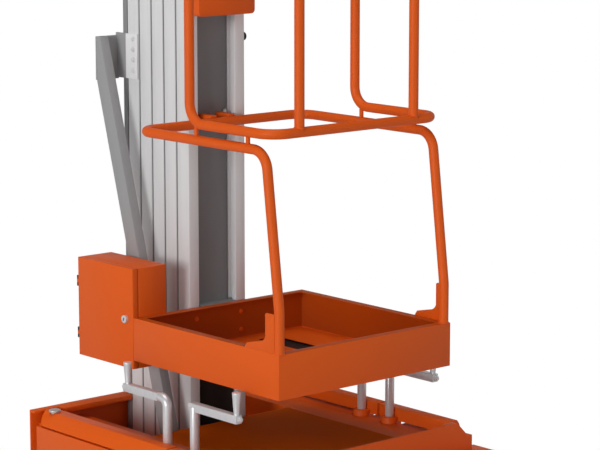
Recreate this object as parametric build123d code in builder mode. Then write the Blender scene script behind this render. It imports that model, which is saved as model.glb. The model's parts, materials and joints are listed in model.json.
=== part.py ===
from build123d import *
import math
import os

os.makedirs("parts", exist_ok=True)

# Frame: millimetres, +Z up, ground at Z 0, platform towards -Y, mirror plane X 0

# Overall sizes
HEIGHT = 1980.0
RUN = 5.0                     # smallest gap between pieces that move past each other
SLIDE_FIT = 0.3               # gap at a guide face
PIN_FIT = 0.3                 # radial gap at a pin
SIDES = (-1, 1)

# Platform tray
TRAY_W = 620.0
TRAY_D = 620.0
TRAY_H = 121.0
RIM_Z = 606.0
TRAY_REAR = 220.0             # Y of the rear face
TRAY_SHEET = 3.0
RIM_FLANGE = 26.0
RIM_LIP = 10.0
FLOOR_DROP = 112.0            # rim down to the top of the floor
BEAM_X = 69.0
BEAM_W = 40.0
PAN_T = 2.5
tray_front = TRAY_REAR - TRAY_D
tray_mid = TRAY_REAR - TRAY_D / 2
tray_bottom = RIM_Z - TRAY_H
floor_z = RIM_Z - FLOOR_DROP

# Guard tubes
TUBE = 26.9
TUBE_WALL = 2.6
WELD = 0.1                    # gap left round a welded tube end
RING_LOW = 523.0              # lower ring centre above the rim
RING_UP = 566.0               # upper ring centre above the rim
RING_TOP = 980.0              # top rail centre above the rim
POST_BEND = 110.0             # the front posts lean back from this height above the rim
POST_LEAN = 52.0
POST_BEND_R = 120.0
RING_BEND_R = 55.0
RING_REAR_GAP = 4.0           # lower ring in front of the tray's rear face
UP_FRONT_BACK = 42.0          # upper ring's front tube behind the tray's front face
UPRIGHT_BACK = 242.0          # rear uprights in front of the tray's rear face
BAR_X = 203.0                 # the two front bars
tube_r = TUBE / 2
ring_x = TRAY_W / 2 - tube_r
ring_z = RIM_Z + RING_LOW
up_z = RIM_Z + RING_UP
rail_z = RIM_Z + RING_TOP
ring_rear_y = TRAY_REAR - RING_REAR_GAP - tube_r
up_front_y = tray_front + UP_FRONT_BACK
upright_y = TRAY_REAR - UPRIGHT_BACK

# Post gussets
GUSSET_T = 4.0
GUSSET_H = 104.0
GUSSET_LEG = 27.0
GUSSET_REACH = 115.0
GUSSET_END_H = 14.0
GUSSET_START = 5.0            # plate's edge behind the post's centre line
GUSSET_CUT = 3.0
GUSSET_R = 26.0

# Mast: sections stand one in front of the other, the rear one is fixed
MAST_W = 203.0
MAST_FRONT = TRAY_REAR + 10.0
SECTION_PITCH = 56.0
SECTION_N = 5
FLANGE_W = 34.0
SECTION_BOTTOM = 180.0
WEB_T = 5.0
GROOVE_D = 12.0
GROOVE_H = 18.0
CORE_WALL = 3.5
HOOK_T = 5.0
REAR_BAND = 23.0
REAR_BAND_GAP = 4.0
section_d = SECTION_PITCH - RUN
section_l = HEIGHT - SECTION_BOTTOM
recess_half = MAST_W / 2 - FLANGE_W
mast_rear = MAST_FRONT + (SECTION_N - 1) * SECTION_PITCH + section_d

# Chassis
HULL_HALF = 435.0
HULL_REAR = 550.0
HULL_FRONT = -365.0
HULL_BOTTOM = 165.0
HULL_TOP = 303.0
PLATE = 5.0
TUB_HALF = 250.0
LEDGE_Z = 261.0
DECK_GAP = 15.0               # the deck's rear edge in front of the mast
REAR_FLANGE = 50.0
REAR_FLANGE_HALF = 350.0
REAR_LIP = 14.0               # fold at the rear flange's inner edge
MAST_GAP = 4.0                # flange's cut-out round the mast
CORNER_W = 30.0               # open channel at the rear corners
CORNER_D = 33.0
CHAMFER = 58.0
TAB_IN = 340.0                # tabs at the corners, level with the arms' tops
TAB_T = 6.0
TIE_X = 385.0                 # tie-down holes in the rear plate
TIE_Z = 215.0
TIE_R = 12.0
NOSE_FRONT = -550.0
NOSE_TOP = 213.0
NOSE_DROP = 60.0              # front frame below the tub
STUB_IN = 40.0
FOOT_HALF = 130.0             # mast foot plate
deck_rear = MAST_FRONT - DECK_GAP

# Heavy pieces in the side boxes
HEAVY_Y = 120.0
BATTERY_L = 240.0
POWER_L = 260.0
SIDE_CLEAR = 5.0
LID_CLEAR = 4.0

# Outriggers
ARM_IN = 368.0
ARM_SLOPE = 33.0
ARM_GAP = 6.0
ARM_WALL = 4.0
ARM_END = 54.0                # arm beyond its jack
JACK_X = 357.0
REAR_JACK_Y = 9.0
FRONT_JACK_Y = -109.0
REAR_PIVOT_Y = 481.0
FRONT_PIVOT_Y = -300.0
PIVOT_X = 396.0
PIN_R = 10.0
PIN_HEAD_R = 17.0
PIN_HEAD_T = 6.0
WASHER_R = 22.0
SHAFT_R = 13.0
JACK_TUBE_R = 24.0
JACK_TUBE_WALL = 4.0
JACK_TUBE_BOTTOM = 172.0
JACK_TUBE_TOP = 278.0
JACK_LID = 6.0
LEG_STOP = 8.0                # leg's end below the tube's lid
FOOT_R = 50.0
FOOT_Z = 60.0
FOOT_T = 8.0
CRANK_Z = 423.5               # middle of the crank arm
CRANK_REACH = 176.0
CRANK_W = 20.0
CRANK_T = 22.0
CRANK_BEND = 22.0
CRANK_NECK = 34.0             # round part of a rear crank's arm
GRIP_L = 60.0                 # above the arm
GRIP_R = 12.0
GRIP_FOOT_R = 6.5
arm_bottom = LEDGE_Z + ARM_GAP
nose_r = HULL_HALF - PIVOT_X
leg_r = JACK_TUBE_R - JACK_TUBE_WALL - PIN_FIT
slot_r = JACK_TUBE_R + RUN

# Wheels
FRONT_R = 100.0
FRONT_W = 50.0
FRONT_X = 466.0
FRONT_Y = -436.0
FENDER_T = 4.0                # flush with the front frame's top
FENDER_HALF_L = 120.0
AXLE_R = 10.0
CASTOR_R = 62.5
CASTOR_W = 36.0
CASTOR_X = 345.0
CASTOR_Y = 425.0
CASTOR_TRAIL = 36.0
TYRE_T = 16.0
CASTOR_TYRE_T = 12.0

# Control box
BOX_W = 117.0
BOX_D = 256.0
BOX_BELOW = 146.0             # below the rim
BOX_ABOVE = 137.0             # above the rim
BOX_SHEET = 2.0
DOOR_T = 18.0
DOOR_GAP = 1.5
HINGE_R = 5.5
HINGE_PIN_R = 3.0
HINGE_L = 30.0
HINGE_IN = 7.0                # hinge pin inside the door's outer face
HINGE_LEAF = 28.0
HINGE_LEAF_T = 3.0
HINGES_UP = (67.0, -83.0)     # hinge centres from the rim
LOCK_R = 11.0
LOCK_T = 10.0
LOCK_BACK = 31.0              # behind the tray's rear face
LOCK_BELOW = 7.0              # below the rim
BOX_X0 = -TRAY_W / 2
BOX_X1 = BOX_X0 + BOX_W
box_y1 = TRAY_REAR + BOX_D
box_z0 = RIM_Z - BOX_BELOW
box_z1 = RIM_Z + BOX_ABOVE

# Strut beside the mast
STRUT_X = -165.0
STRUT_W = 30.0
STRUT_D = 50.0
STRUT_WALL = 3.0
STRUT_TOP_Y = 560.6
STRUT_REAR = 556.0            # rearmost face of the strut's bracket
STRUT_FOOT_Y = 238.0
STRUT_FOOT_Z = 215.0
STRUT_FOOT_L = 80.0
CHEEK_T = 6.0
BRACKET_Z0 = 1231.0
BRACKET_Z1 = 1356.0
BRACKET_T = 6.0
BRACKET_UP = 8.0              # side plate above the bracket

# Carriage and its cover
HOOD_BOTTOM = RIM_Z + 824.0
HOOD_W = 200.0
HOOD_FRONT = TRAY_REAR - 40.0
HOOD_BACK = MAST_FRONT - RUN
HOOD_SHEET = 3.0
HOOD_R = 12.0
HOOD_RIB_X = 45.0
HOOD_RIB_W = 16.0
SADDLE_X = 60.0
SADDLE_W = 30.0
SADDLE_H = 20.0
CARRIAGE_TOP = HEIGHT - 20.0
CARRIAGE_BOTTOM = 190.0
PANEL_T = 8.0                 # carriage panel behind the guard rings
BRACKET_X = 32.0              # brackets from the panel to the lower ring
BRACKET_W = 22.0
BRACKET_H = 40.0
block_half = recess_half - RUN


def save(part, name):
    part.label = name
    export_step(part, f"parts/{name}.step")


def tube_run(points, bend, radius=tube_r, bore=tube_r - TUBE_WALL, mode=Mode.ADD):
    """Round tube along a path with rounded corners, added to or cut from the open part."""
    with BuildLine() as run:
        FilletPolyline(*points, radius=bend)
    with BuildSketch(Plane(origin=run.line @ 0, z_dir=run.line % 0)) as ring:
        Circle(radius)
        if bore:
            Circle(bore, mode=Mode.SUBTRACT)
    sweep(sections=ring.sketch, path=run.line, mode=mode)


def block(x0, x1, y0, y1, z0, z1, mode=Mode.ADD):
    """Box between two corners, added to or cut from the open part."""
    with BuildSketch(Plane.XY.offset(z0)) as face:
        with Locations(((x0 + x1) / 2, (y0 + y1) / 2)):
            Rectangle(abs(x1 - x0), y1 - y0)
    extrude(face.sketch, amount=z1 - z0, mode=mode)


def drum(x, y, z0, z1, radius, mode=Mode.ADD):
    """Upright cylinder, added to or cut from the open part."""
    with BuildSketch(Plane.XY.offset(z0)) as face:
        with Locations((x, y)):
            Circle(radius)
    extrude(face.sketch, amount=z1 - z0, mode=mode)


def axle(x0, x1, y, z, radius, mode=Mode.ADD):
    """Cylinder along X, added to or cut from the open part."""
    with BuildSketch(Plane.YZ.offset(min(x0, x1))) as face:
        with Locations((y, z)):
            Circle(radius)
    extrude(face.sketch, amount=abs(x1 - x0), mode=mode)


# Platform tray: floor, toe boards with a folded rim, openings in the floor
FLOOR_OPENINGS = (
    # centre x, rear edge and front edge measured back from the tray's rear face, width
    (0.0, 30.0, 132.0, 72.0),
    (0.0, 250.0, 475.0, 72.0),
    (138.0, 45.0, 272.0, 72.0),
    (-138.0, 45.0, 272.0, 72.0),
    (138.0, 372.0, 575.0, 72.0),
    (-138.0, 372.0, 575.0, 72.0),
)
tray_in = TRAY_W / 2 - TRAY_SHEET
flange_in = TRAY_W / 2 - RIM_FLANGE
with BuildPart() as platform_tray:
    block(-TRAY_W / 2, TRAY_W / 2, tray_front, TRAY_REAR, tray_bottom, RIM_Z)
    block(-tray_in, tray_in, tray_front + TRAY_SHEET, TRAY_REAR - TRAY_SHEET,
          floor_z, RIM_Z - TRAY_SHEET, Mode.SUBTRACT)
    block(-flange_in, flange_in, tray_front + RIM_FLANGE, TRAY_REAR - RIM_FLANGE,
          RIM_Z - TRAY_SHEET, RIM_Z, Mode.SUBTRACT)
    block(-tray_in, tray_in, tray_front + TRAY_SHEET, TRAY_REAR - TRAY_SHEET,
          tray_bottom, floor_z - TRAY_SHEET, Mode.SUBTRACT)
    for centre, rear, front, width in FLOOR_OPENINGS:
        block(centre - width / 2, centre + width / 2, TRAY_REAR - front, TRAY_REAR - rear,
              tray_bottom, floor_z, Mode.SUBTRACT)
save(platform_tray.part, "platform_tray")

# Two beams under the floor that carry the tray from the carriage
with BuildPart() as platform_beams:
    for side in SIDES:
        block(side * BEAM_X - BEAM_W / 2, side * BEAM_X + BEAM_W / 2, tray_front + TRAY_SHEET,
              TRAY_REAR - TRAY_SHEET, tray_bottom, floor_z - TRAY_SHEET)
save(platform_beams.part, "platform_beams")

# Dark sheets that close the underside on both sides of the beams
beam_in = BEAM_X - BEAM_W / 2
beam_out = BEAM_X + BEAM_W / 2
with BuildPart() as floor_pan:
    for x0, x1 in ((-tray_in, -beam_out), (-beam_in, beam_in), (beam_out, tray_in)):
        block(x0, x1, tray_front + TRAY_SHEET, TRAY_REAR - TRAY_SHEET, tray_bottom,
              tray_bottom + PAN_T)
save(floor_pan.part, "floor_pan")

# Guard tubes. The lower ring and its two front posts are one bent run, and so are the
# upper ring and its two uprights. Each run is kept in lengths that meet face to face.
post_y = tray_front + tube_r
ring_split = post_y + POST_LEAN + RING_BEND_R
up_split = upright_y - RING_BEND_R - 5
rail_rear_y = HOOD_FRONT - tube_r - 4
rail_split = (up_front_y + rail_rear_y) / 2


def post_points(side):
    return [
        (side * ring_x, post_y, RIM_Z),
        (side * ring_x, post_y, RIM_Z + POST_BEND),
        (side * ring_x, post_y + POST_LEAN, ring_z),
        (side * ring_x, ring_split, ring_z),
    ]


def upright_points(side):
    return [
        (side * ring_x, upright_y, rail_z),
        (side * ring_x, upright_y, up_z),
        (side * ring_x, up_split, up_z),
    ]


def half_ring(y_open, y_closed, height):
    """Three sides of a ring, from its open ends to its closed side."""
    return [
        (-ring_x, y_open, height),
        (-ring_x, y_closed, height),
        (ring_x, y_closed, height),
        (ring_x, y_open, height),
    ]


def clear_tube(points, bend):
    """Cuts the way of a guard tube out of the open part."""
    tube_run(points, bend, radius=tube_r + WELD, bore=0, mode=Mode.SUBTRACT)


post_bends = (POST_BEND_R, RING_BEND_R)
lower_points = half_ring(ring_split, ring_rear_y, ring_z)
upper_points = half_ring(up_split, up_front_y, up_z)
rail_front_points = half_ring(rail_split, up_front_y, rail_z)
rail_rear_points = half_ring(rail_split, rail_rear_y, rail_z)
with BuildPart() as guard_posts:
    for side in SIDES:
        tube_run(post_points(side), post_bends)
save(guard_posts.part, "guard_posts")
RINGS = (
    # name, path
    ("lower_ring", lower_points),
    ("upper_ring", upper_points),
    ("top_rail_front", rail_front_points),
    ("top_rail_rear", rail_rear_points),
)
for name, points in RINGS:
    with BuildPart() as ring_part:
        tube_run(points, RING_BEND_R)
    save(ring_part.part, name)
with BuildPart() as cage_uprights:
    for side in SIDES:
        tube_run(upright_points(side), RING_BEND_R)
    clear_tube(rail_front_points, RING_BEND_R)
    clear_tube(rail_rear_points, RING_BEND_R)
save(cage_uprights.part, "cage_uprights")
with BuildPart() as front_bars:
    for side in SIDES:
        drum(side * BAR_X, up_front_y, up_z, rail_z, tube_r)
        drum(side * BAR_X, up_front_y, up_z, rail_z, tube_r - TUBE_WALL, Mode.SUBTRACT)
    clear_tube(upper_points, RING_BEND_R)
    clear_tube(rail_front_points, RING_BEND_R)
save(front_bars.part, "front_bars")

# Short links between the two rings, below the uprights and near the front corners
LINK_R = 6.0
LINK_UP = 12.0
LINKS_BACK = (28.0, 241.0)    # in front of the uprights
with BuildPart() as ring_links:
    for side in SIDES:
        for link_y in (upright_y - back for back in LINKS_BACK):
            drum(side * ring_x, link_y, ring_z, up_z + LINK_UP, LINK_R)
        clear_tube(upright_points(side), RING_BEND_R)
    clear_tube(lower_points, RING_BEND_R)
    clear_tube(upper_points, RING_BEND_R)
save(ring_links.part, "ring_links")

# Gusset plates behind the front posts, in the plane of the side toe boards
leg_y = post_y + tube_r + GUSSET_LEG
plate_y = post_y + GUSSET_START
with BuildPart() as gusset_plates:
    for side in SIDES:
        outer = side * TRAY_W / 2
        with BuildSketch(Plane.YZ.offset(outer if side < 0 else outer - GUSSET_T)):
            with BuildLine():
                Polyline(
                    (plate_y, RIM_Z),
                    (plate_y, RIM_Z + GUSSET_H),
                    (leg_y - GUSSET_CUT, RIM_Z + GUSSET_H),
                    (leg_y, RIM_Z + GUSSET_H - GUSSET_CUT),
                    (leg_y, RIM_Z + GUSSET_END_H + 28),
                )
                foot_edge = Line((leg_y + 20, RIM_Z + GUSSET_END_H + 12),
                                 (post_y + GUSSET_REACH, RIM_Z + GUSSET_END_H))
                RadiusArc((leg_y, RIM_Z + GUSSET_END_H + 28), foot_edge @ 0, -GUSSET_R)
                Polyline(foot_edge @ 1, (post_y + GUSSET_REACH + 10, RIM_Z),
                         (plate_y, RIM_Z))
            make_face()
        extrude(amount=GUSSET_T)
        clear_tube(post_points(side), post_bends)
save(gusset_plates.part, "gusset_plates")


def mast_section(front, hooks):
    """Grooved rails, a web behind them and, if asked, hooks that run in the section behind."""
    half = MAST_W / 2
    mid = front + section_d / 2
    with BuildPart(mode=Mode.PRIVATE) as made:
        with BuildSketch(Plane.XY.offset(SECTION_BOTTOM)):
            for side in SIDES:
                with Locations((side * (half - FLANGE_W / 2), mid)):
                    Rectangle(FLANGE_W, section_d)
                with Locations((side * (recess_half + GROOVE_D / 2), mid)):
                    Rectangle(GROOVE_D, GROOVE_H, mode=Mode.SUBTRACT)
                core = FLANGE_W - GROOVE_D - 2 * CORE_WALL
                with Locations((side * (half - CORE_WALL - core / 2), mid)):
                    Rectangle(core, section_d - 2 * CORE_WALL, mode=Mode.SUBTRACT)
            with Locations((0, front + section_d - WEB_T / 2)):
                Rectangle(2 * recess_half + 2, WEB_T)
            if hooks:
                groove = mid + SECTION_PITCH
                tip = recess_half + GROOVE_D - SLIDE_FIT
                root = recess_half - RUN - HOOK_T
                for side in SIDES:
                    rear = groove + GROOVE_H / 2 - SLIDE_FIT
                    with Locations((side * (root + HOOK_T / 2), (front + section_d + rear) / 2)):
                        Rectangle(HOOK_T, rear - front - section_d)
                    with Locations((side * (root + tip) / 2, groove)):
                        Rectangle(tip - root, GROOVE_H - 2 * SLIDE_FIT)
        extrude(amount=section_l)
    return made.part


# Mast sections, the fixed one first
for number in range(1, SECTION_N + 1):
    front = MAST_FRONT + (SECTION_N - number) * SECTION_PITCH
    with BuildPart() as section:
        add(mast_section(front, number > 1))
        if number == 1:
            block(-MAST_W / 2, MAST_W / 2, mast_rear + REAR_BAND_GAP, mast_rear + REAR_BAND,
                  SECTION_BOTTOM, HEIGHT)
            block(-recess_half, recess_half, mast_rear - 1, mast_rear + REAR_BAND_GAP + 1,
                  SECTION_BOTTOM, HEIGHT)
            block(-MAST_W / 2 + CORE_WALL, MAST_W / 2 - CORE_WALL,
                  mast_rear + REAR_BAND_GAP + CORE_WALL, mast_rear + REAR_BAND - CORE_WALL,
                  SECTION_BOTTOM, HEIGHT, Mode.SUBTRACT)
    save(section.part, f"mast_section_{number}")

# Foot of the fixed section on the tub floor
with BuildPart() as mast_foot:
    block(-FOOT_HALF, FOOT_HALF, mast_rear - section_d - 4, HULL_REAR - PLATE,
          HULL_BOTTOM + PLATE, SECTION_BOTTOM)
save(mast_foot.part, "mast_foot")

# Black stop on the front section
STOP_R = 12.0
STOP_L = 11.0
STOP_BACK = 13.0
STOP_UP = 755.0               # above the rim
with BuildPart() as mast_stop:
    axle(MAST_W / 2, MAST_W / 2 + STOP_L, MAST_FRONT + STOP_BACK, RIM_Z + STOP_UP, STOP_R)
save(mast_stop.part, "mast_stop")

# Carriage in the front section: blocks with shoes at both ends and a panel between them
groove_y = MAST_FRONT + section_d / 2
shoe_half = recess_half + GROOVE_D - SLIDE_FIT
web_front = MAST_FRONT + section_d - WEB_T
shoe_t = GROOVE_H - 2 * SLIDE_FIT
panel_y = web_front - RUN - PANEL_T
BLOCKS = (
    # bottom, top
    (CARRIAGE_BOTTOM, RIM_Z),
    (HOOD_BOTTOM + 30, CARRIAGE_TOP),
)
with BuildPart() as carriage:
    for low, high in BLOCKS:
        block(-block_half, block_half, MAST_FRONT + 8, web_front - RUN, low, high)
        block(-shoe_half, shoe_half, groove_y - shoe_t / 2, groove_y + shoe_t / 2, low, high)
    block(-block_half, block_half, TRAY_REAR, MAST_FRONT + 9, tray_bottom, RIM_Z)
    block(-block_half, block_half, TRAY_REAR, MAST_FRONT + 9, HOOD_BOTTOM + 60,
          CARRIAGE_TOP - 60)
    block(-block_half, block_half, panel_y, panel_y + PANEL_T, RIM_Z - 1, HOOD_BOTTOM + 31)
save(carriage.part, "carriage")

# Brackets between the lower ring and the carriage panel
with BuildPart() as ring_brackets:
    for side in SIDES:
        block(side * BRACKET_X - BRACKET_W / 2, side * BRACKET_X + BRACKET_W / 2, ring_rear_y,
              panel_y, ring_z - BRACKET_H / 2, ring_z + BRACKET_H / 2)
    clear_tube(lower_points, RING_BEND_R)
save(ring_brackets.part, "ring_brackets")

# Carriage cover, open towards the mast and below
with BuildPart() as carriage_hood:
    with BuildSketch(Plane.XZ.offset(-HOOD_BACK)):
        with Locations((0, (HOOD_BOTTOM + HEIGHT) / 2)):
            RectangleRounded(HOOD_W, HEIGHT - HOOD_BOTTOM, HOOD_R)
    extrude(amount=HOOD_BACK - HOOD_FRONT)
    with BuildSketch(Plane.XZ.offset(-HOOD_BACK)):
        with Locations((0, (HOOD_BOTTOM + HEIGHT) / 2)):
            RectangleRounded(HOOD_W - 2 * HOOD_SHEET, HEIGHT - HOOD_BOTTOM - 2 * HOOD_SHEET,
                             HOOD_R - HOOD_SHEET)
    extrude(amount=HOOD_BACK - HOOD_FRONT - HOOD_SHEET, mode=Mode.SUBTRACT)
    for side in SIDES:
        block(side * HOOD_RIB_X - HOOD_RIB_W / 2, side * HOOD_RIB_X + HOOD_RIB_W / 2,
              HOOD_FRONT + HOOD_SHEET, TRAY_REAR, HOOD_BOTTOM + 60, CARRIAGE_TOP - 60)
        block(side * SADDLE_X - SADDLE_W / 2, side * SADDLE_X + SADDLE_W / 2, rail_rear_y,
              HOOD_FRONT + 1, rail_z - SADDLE_H / 2, rail_z + SADDLE_H / 2)
    clear_tube(rail_rear_points, RING_BEND_R)
save(carriage_hood.part, "carriage_hood")

# Control box, its hinges and its door on the outer side
door_in = BOX_X0 + DOOR_T
hinge_x = BOX_X0 + HINGE_IN
hinge_y = box_y1 + HINGE_R + DOOR_GAP
hinges_z = [RIM_Z + up for up in HINGES_UP]
with BuildPart() as control_box:
    block(door_in + DOOR_GAP, BOX_X1, TRAY_REAR, box_y1, box_z0, box_z1)
    block(door_in, BOX_X1 - BOX_SHEET, TRAY_REAR + BOX_SHEET, box_y1 - BOX_SHEET,
          box_z0 + BOX_SHEET, box_z1 - BOX_SHEET, Mode.SUBTRACT)
save(control_box.part, "control_box")
with BuildPart() as control_box_door:
    block(BOX_X0, door_in, TRAY_REAR + 1, box_y1, box_z0, box_z1)
    block(BOX_X0 + BOX_SHEET, door_in + 1, TRAY_REAR + 1 + BOX_SHEET, box_y1 - BOX_SHEET,
          box_z0 + BOX_SHEET, box_z1 - BOX_SHEET, Mode.SUBTRACT)
    for height in hinges_z:
        block(hinge_x - 3, hinge_x + 3, box_y1 - 1, hinge_y, height - HINGE_L / 6 + PIN_FIT,
              height + HINGE_L / 6 - PIN_FIT)
        drum(hinge_x, hinge_y, height - HINGE_L / 6 + PIN_FIT, height + HINGE_L / 6 - PIN_FIT,
             HINGE_R)
        drum(hinge_x, hinge_y, height - HINGE_L, height + HINGE_L, HINGE_PIN_R + PIN_FIT,
             Mode.SUBTRACT)
save(control_box_door.part, "control_box_door")
with BuildPart() as door_hinges:
    for height in hinges_z:
        drum(hinge_x, hinge_y, height - HINGE_L / 2, height + HINGE_L / 2, HINGE_PIN_R)
        for way in SIDES:
            z0, z1 = sorted((height + way * HINGE_L / 6, height + way * HINGE_L / 2))
            drum(hinge_x, hinge_y, z0, z1, HINGE_R)
            leaf_end = hinge_x + HINGE_LEAF
            block(hinge_x, leaf_end, box_y1 + PIN_FIT, box_y1 + HINGE_LEAF_T, z0, z1)
            block(door_in + DOOR_GAP, leaf_end, box_y1, box_y1 + 1, z0, z1)
save(door_hinges.part, "door_hinges")
with BuildPart() as door_lock:
    axle(BOX_X0 - LOCK_T, BOX_X0, TRAY_REAR + LOCK_BACK, RIM_Z - LOCK_BELOW, LOCK_R)
save(door_lock.part, "door_lock")

OUTRIGGERS = (
    # name, side, pivot y, jack y, way from jack to pivot, whether it is a rear one with a
    # pin head on top and a crank bent from round bar
    ("rear_left", -1, REAR_PIVOT_Y, REAR_JACK_Y, 1, True),
    ("rear_right", 1, REAR_PIVOT_Y, REAR_JACK_Y, 1, True),
    ("front_left", -1, FRONT_PIVOT_Y, FRONT_JACK_Y, -1, False),
    ("front_right", 1, FRONT_PIVOT_Y, FRONT_JACK_Y, -1, False),
)


def span(side, inner, outer):
    """Low and high X of a stretch on one side of the mirror plane."""
    return sorted((side * inner, side * outer))


def slot_ends(pivot_y, jack_y, way):
    """Lowest and highest Y of a jack's centre on its way out of the chassis."""
    reach = math.hypot(PIVOT_X - JACK_X, pivot_y - jack_y)
    clear_x = HULL_HALF + slot_r - PIVOT_X
    places = (jack_y, pivot_y - way * reach,
              pivot_y - way * math.sqrt(reach ** 2 - clear_x ** 2))
    return min(places), max(places)


# Chassis tub: closed boxes along both sides, an open well between them.
# Each jack has a slot in its side box, through which it swings out.
with BuildPart() as hull:
    block(-HULL_HALF, HULL_HALF, HULL_FRONT, HULL_REAR, HULL_BOTTOM, LEDGE_Z)
    block(-TUB_HALF, TUB_HALF, HULL_FRONT + PLATE, HULL_REAR - PLATE, HULL_BOTTOM + PLATE,
          LEDGE_Z + 1, Mode.SUBTRACT)
    for side in SIDES:
        low, high = span(side, TUB_HALF + PLATE, HULL_HALF - PLATE)
        block(low, high, HULL_FRONT + PLATE, HULL_REAR - PLATE, HULL_BOTTOM + PLATE,
              LEDGE_Z - PLATE, Mode.SUBTRACT)
        corner_y = HULL_REAR - CORNER_D
        low, high = span(side, HULL_HALF - CORNER_W - PLATE, HULL_HALF)
        block(low, high, corner_y - PLATE, HULL_REAR - PLATE, HULL_BOTTOM, LEDGE_Z)
        low, high = span(side, HULL_HALF - CORNER_W, HULL_HALF + 1)
        block(low, high, corner_y, HULL_REAR - PLATE, HULL_BOTTOM - 1, LEDGE_Z + 1,
              Mode.SUBTRACT)
    for corner, side, pivot_y, jack_y, way, shows in OUTRIGGERS:
        y0, y1 = slot_ends(pivot_y, jack_y, way)
        for wall, mode in ((PLATE, Mode.ADD), (0, Mode.SUBTRACT)):
            over = 0 if wall else 1
            low, high = span(side, JACK_X, HULL_HALF + over)
            block(low, high, y0 - slot_r - wall, y1 + slot_r + wall, HULL_BOTTOM - over,
                  LEDGE_Z + over, mode)
            drum(side * JACK_X, jack_y, HULL_BOTTOM - over, LEDGE_Z + over, slot_r + wall,
                 mode)
    block(-HULL_HALF, HULL_HALF, HULL_REAR - PLATE, HULL_REAR, HULL_BOTTOM, HULL_TOP)
    block(-REAR_FLANGE_HALF, REAR_FLANGE_HALF, HULL_REAR - REAR_FLANGE, HULL_REAR,
          HULL_TOP - PLATE, HULL_TOP)
    block(-REAR_FLANGE_HALF, REAR_FLANGE_HALF, HULL_REAR - REAR_FLANGE,
          HULL_REAR - REAR_FLANGE + PLATE, HULL_TOP - REAR_LIP, HULL_TOP)
    block(-MAST_W / 2 - MAST_GAP, MAST_W / 2 + MAST_GAP, HULL_REAR - REAR_FLANGE - 1,
          mast_rear + REAR_BAND + MAST_GAP, HULL_TOP - REAR_LIP - 1, HULL_TOP + 1,
          Mode.SUBTRACT)
    for side in SIDES:
        low, high = span(side, REAR_FLANGE_HALF - 1, HULL_HALF)
        block(low, high, REAR_PIVOT_Y + nose_r + RUN, HULL_REAR, HULL_TOP - TAB_T, HULL_TOP)
        low, high = span(side, TAB_IN, HULL_HALF - CHAMFER)
        block(low, high, HULL_FRONT, FRONT_PIVOT_Y - nose_r - RUN, HULL_TOP - TAB_T, HULL_TOP)
    with BuildSketch(Plane.XZ.offset(-HULL_FRONT - PLATE)):
        Polygon(
            (-HULL_HALF, HULL_BOTTOM), (HULL_HALF, HULL_BOTTOM),
            (HULL_HALF, HULL_TOP - CHAMFER), (HULL_HALF - CHAMFER, HULL_TOP),
            (-HULL_HALF + CHAMFER, HULL_TOP), (-HULL_HALF, HULL_TOP - CHAMFER),
            align=None,
        )
    extrude(amount=PLATE)
    with BuildSketch(Plane.XZ.offset(-HULL_REAR - 1)):
        with Locations((-TIE_X, TIE_Z), (TIE_X, TIE_Z)):
            Circle(TIE_R)
    extrude(amount=PLATE + 1, mode=Mode.SUBTRACT)
save(hull.part, "hull")

# Deck over the well, from the front plate to just before the mast
with BuildPart() as deck:
    block(-TUB_HALF, TUB_HALF, HULL_FRONT + PLATE, deck_rear, LEDGE_Z - PLATE, LEDGE_Z)
save(deck.part, "deck")

# Lower front frame with the stub axles, and the fenders over the front wheels
with BuildPart() as nose_frame:
    block(-HULL_HALF, HULL_HALF, NOSE_FRONT, HULL_FRONT, HULL_BOTTOM - NOSE_DROP, NOSE_TOP)
    block(-HULL_HALF + PLATE, HULL_HALF - PLATE, NOSE_FRONT + PLATE, HULL_FRONT + 1,
          HULL_BOTTOM - NOSE_DROP - 1, NOSE_TOP - PLATE, Mode.SUBTRACT)
    for side in SIDES:
        axle(side * (HULL_HALF - STUB_IN), side * (FRONT_X + FRONT_W / 2 - 4), FRONT_Y,
             FRONT_R, AXLE_R)
        low, high = span(side, HULL_HALF - STUB_IN, HULL_HALF)
        block(low, high, FRONT_Y - 25, FRONT_Y + 25, FRONT_R - 25, HULL_BOTTOM)
save(nose_frame.part, "nose_frame")
with BuildPart() as front_fenders:
    for side in SIDES:
        low, high = span(side, HULL_HALF, FRONT_X + FRONT_W / 2)
        block(low, high, FRONT_Y - FENDER_HALF_L, FRONT_Y + FENDER_HALF_L,
              NOSE_TOP - FENDER_T, NOSE_TOP)
save(front_fenders.part, "front_fenders")

# Pivot pins of the outriggers, each on its washer
with BuildPart() as pivot_pins:
    for corner, side, pivot_y, jack_y, way, shows in OUTRIGGERS:
        x = side * PIVOT_X
        drum(x, pivot_y, LEDGE_Z, arm_bottom - PIN_FIT, WASHER_R)
        top = HULL_TOP + 1 if shows else HULL_TOP - ARM_WALL - 1
        drum(x, pivot_y, LEDGE_Z, top, PIN_R)
        if shows:
            drum(x, pivot_y, top, top + PIN_HEAD_T, PIN_HEAD_R)
save(pivot_pins.part, "pivot_pins")

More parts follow.
